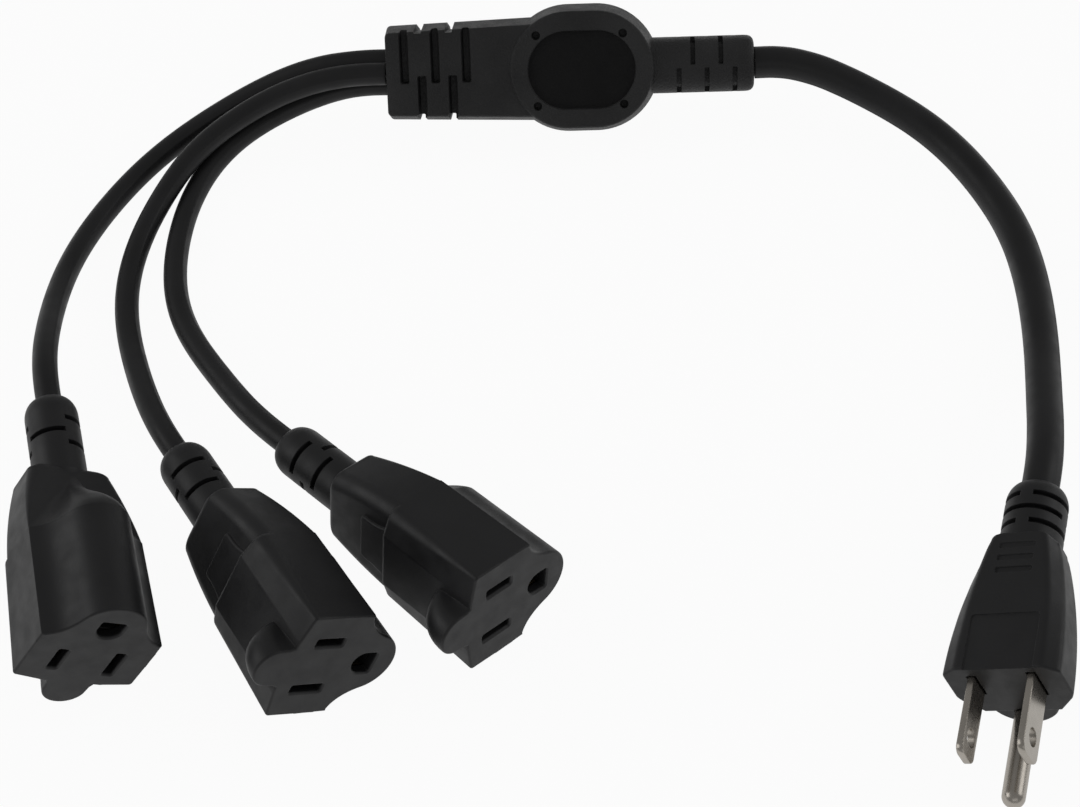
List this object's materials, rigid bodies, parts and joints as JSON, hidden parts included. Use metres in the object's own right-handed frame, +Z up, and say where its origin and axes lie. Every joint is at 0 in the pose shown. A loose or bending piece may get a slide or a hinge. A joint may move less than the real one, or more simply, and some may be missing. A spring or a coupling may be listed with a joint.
{
  "type": "power cord splitter",
  "caption": "Moulded power cord splitter: a grounded plug on a round feed cord, a flat oval junction block and short branch cords that end in grounded receptacles.",
  "frame": {"origin": "middle of the underside of the box round the rigid pieces, on the table", "axes": "+Z up from the table, +X to the right along the junction block from its branch end to its feed end, -Y towards the viewer and the receptacle faces"},
  "size_m": [0.2426, 0.2294, 0.0333],
  "materials": {
    "black_vinyl": "matt black moulded vinyl with fine spark-eroded texture",
    "cord_vinyl": "satin black cord jacket",
    "grey_carrier": "dark grey inner plastic",
    "nickel_plate": "bright nickel plating over brass",
    "brass_strip": "bare sprung brass strip"
  },
  "bodies": {
    "root": {"plug_overmould": "black_vinyl", "plug_bridge": "grey_carrier", "plug_line_blade": "nickel_plate", "plug_neutral_blade": "nickel_plate", "plug_ground_pin": "nickel_plate", "feed_cord": "cord_vinyl", "splitter_overmould": "black_vinyl", "splice_line": "brass_strip", "splice_neutral": "brass_strip", "splice_ground": "brass_strip", "branch_cord_1": "cord_vinyl", "receptacle_1_overmould": "black_vinyl", "receptacle_1_carrier": "grey_carrier", "receptacle_1_line_contact": "brass_strip", "receptacle_1_neutral_contact": "brass_strip", "receptacle_1_ground_contact": "brass_strip", "branch_cord_2": "cord_vinyl", "receptacle_2_overmould": "black_vinyl", "receptacle_2_carrier": "grey_carrier", "receptacle_2_line_contact": "brass_strip", "receptacle_2_neutral_contact": "brass_strip", "receptacle_2_ground_contact": "brass_strip", "branch_cord_3": "cord_vinyl", "receptacle_3_overmould": "black_vinyl", "receptacle_3_carrier": "grey_carrier", "receptacle_3_line_contact": "brass_strip", "receptacle_3_neutral_contact": "brass_strip", "receptacle_3_ground_contact": "brass_strip"}
  },
  "joints": []
}
